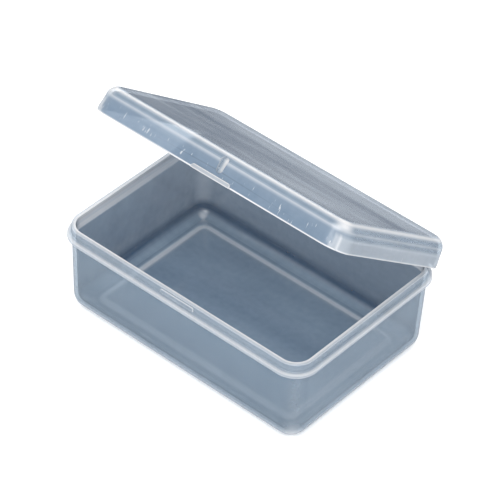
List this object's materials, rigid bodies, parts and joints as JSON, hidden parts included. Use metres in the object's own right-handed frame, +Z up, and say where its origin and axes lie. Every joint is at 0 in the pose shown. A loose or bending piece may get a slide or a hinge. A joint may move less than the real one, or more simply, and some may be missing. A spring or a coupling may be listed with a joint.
{
  "type": "guitar pick box",
  "caption": "Small translucent hinged case for guitar picks: deep tray with a raised lip, shallow snap lid on thin hinge webs.",
  "frame": {"origin": "centre of the tray's foot, on the surface it stands on", "axes": "+Z up, +X along the box's length, +Y towards the hinge; the catch is on the -Y side"},
  "size_m": [0.065, 0.0477, 0.0511],
  "materials": {
    "translucent_shell": "translucent blue-grey polypropylene, moulded smooth",
    "hinge_film": "thin flexed polypropylene film"
  },
  "bodies": {
    "tray": {"tray": "translucent_shell", "hinge_web_left": "hinge_film", "hinge_web_right": "hinge_film"},
    "lid": {"lid": "translucent_shell"}
  },
  "joints": [
    {"name": "lid_hinge", "type": "hinge", "parent": "tray", "child": "lid", "pos_m": [0, 0.02302, 0.01961], "axis": [-1, 0, 0], "range_deg": [-37.1, 142.9], "deforming": ["hinge_web_left", "hinge_web_right"]}
  ]
}
